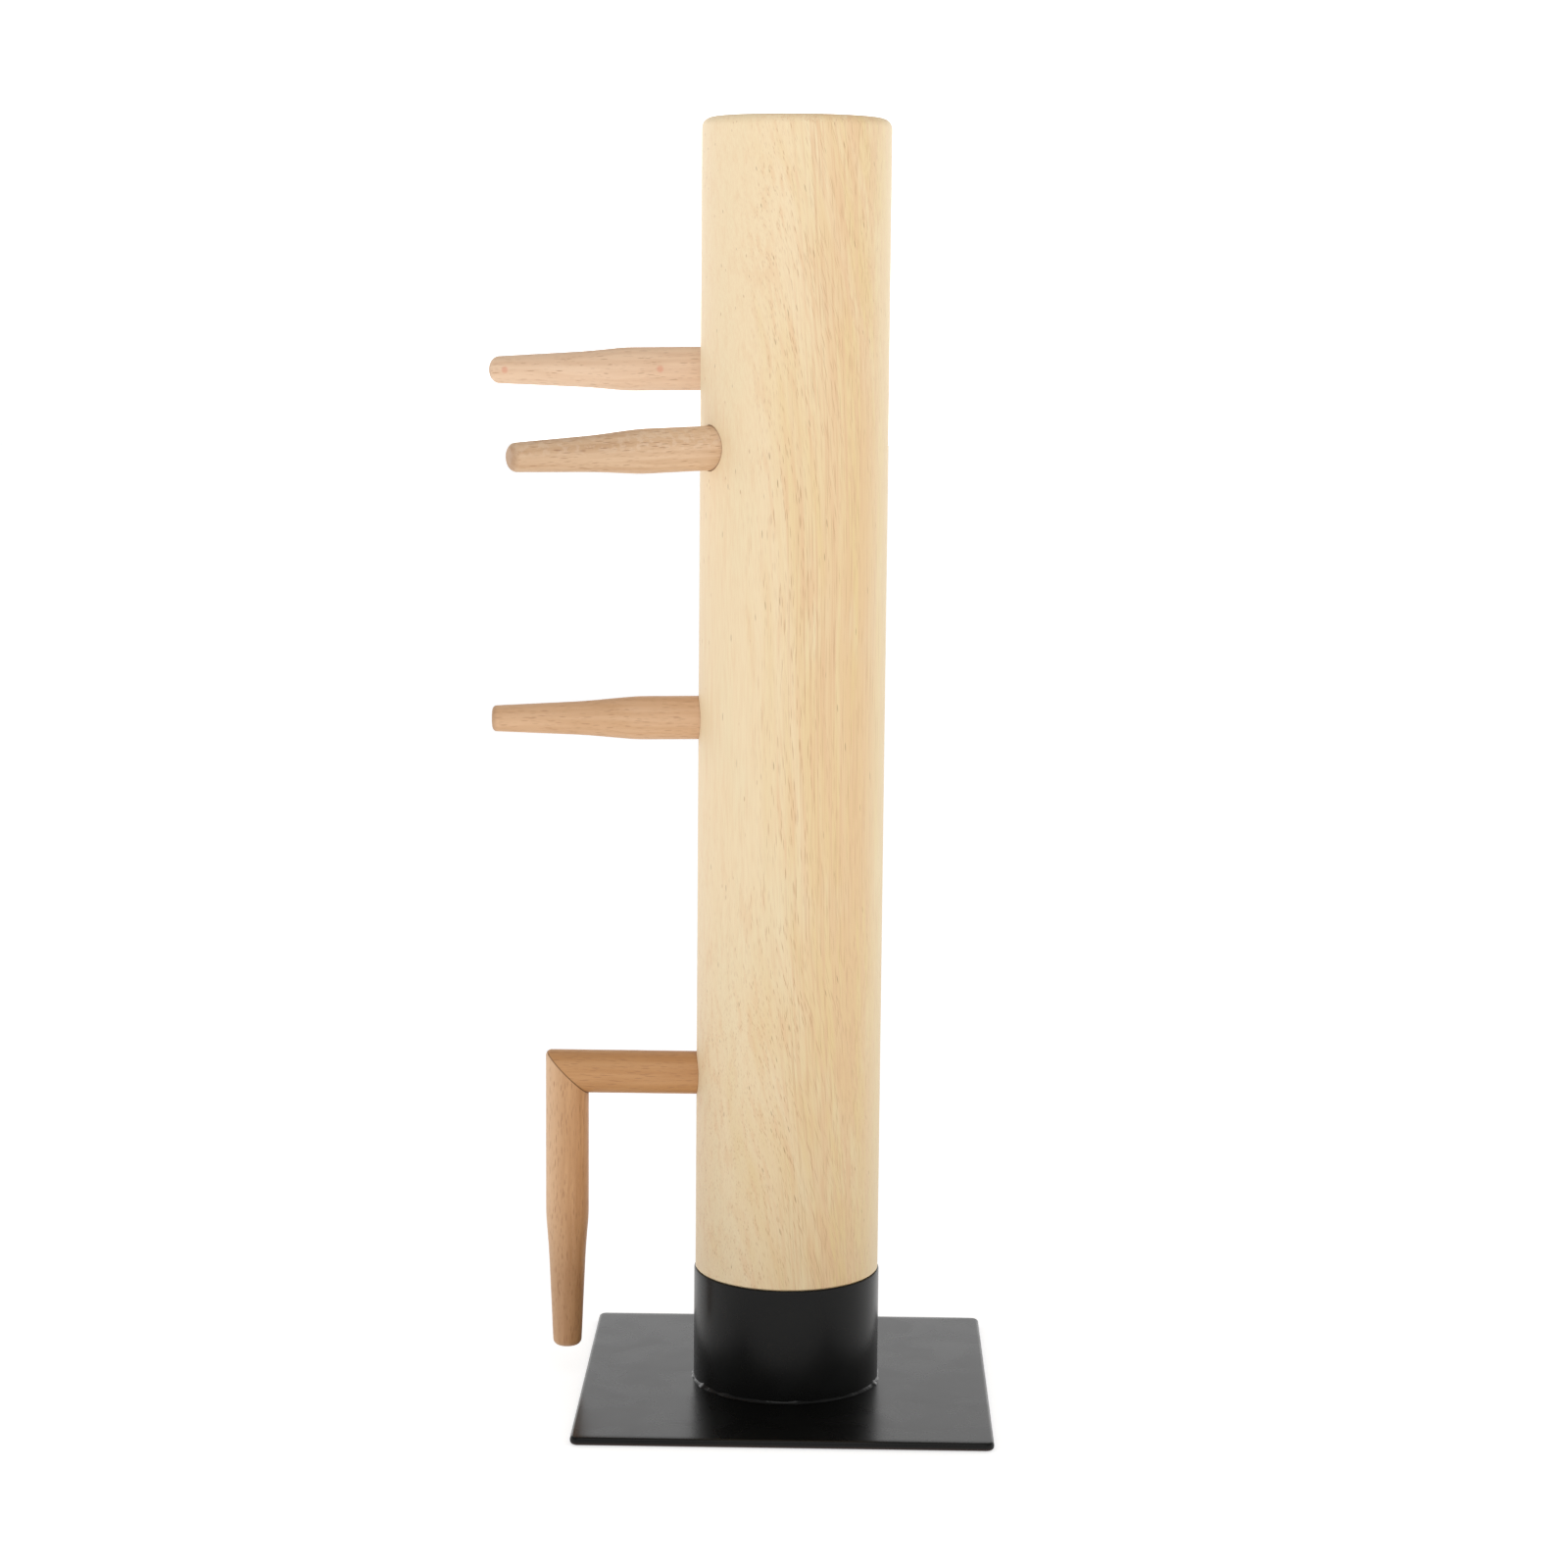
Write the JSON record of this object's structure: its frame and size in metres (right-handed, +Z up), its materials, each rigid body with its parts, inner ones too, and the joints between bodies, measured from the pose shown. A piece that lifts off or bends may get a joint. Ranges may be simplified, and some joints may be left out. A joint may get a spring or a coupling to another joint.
{
  "type": "mug tree",
  "caption": "Round wooden post in a welded square steel foot, with tapered push-in arms as mug pegs and an elbowed leg.",
  "frame": {"origin": "centre of the plate's underside, on the surface it stands on", "axes": "+Z up the column's axis, -X the front where the arms and the leg point, +Y to the left of someone facing the front"},
  "size_m": [0.1258, 0.1, 0.31],
  "materials": {
    "black_coat": "satin black powder coat",
    "pale_wood": "smooth sanded, clear matt seal",
    "beech": "smooth turned, clear matt seal",
    "zinc_steel": "zinc plated"
  },
  "bodies": {
    "stand": {"base_plate": "black_coat", "socket_collar": "black_coat", "weld_bead": "black_coat", "column": "pale_wood", "front_column_screw": "zinc_steel", "rear_column_screw": "zinc_steel"},
    "left_arm": {"left_upper_arm": "beech"},
    "right_arm": {"right_upper_arm": "beech"},
    "centre_arm": {"middle_arm": "beech"},
    "leg": {"leg_thigh": "beech", "leg_shin": "beech", "leg_mitre_dowel": "beech"}
  },
  "joints": [
    {"name": "left_arm_pull", "type": "slide", "parent": "stand", "child": "left_arm", "axis": [-0.9509, 0.309, -0.0192], "range_m": [0, 0.017]},
    {"name": "right_arm_pull", "type": "slide", "parent": "stand", "child": "right_arm", "axis": [-0.8825, -0.4692, -0.0332], "range_m": [0, 0.017]},
    {"name": "centre_arm_pull", "type": "slide", "parent": "stand", "child": "centre_arm", "axis": [-0.9999, 0, -0.0157], "range_m": [0, 0.017]},
    {"name": "leg_swivel", "type": "hinge", "parent": "stand", "child": "leg", "pos_m": [-0.0226, 0, 0.0787], "axis": [-1, 0, 0], "continuous": true}
  ]
}
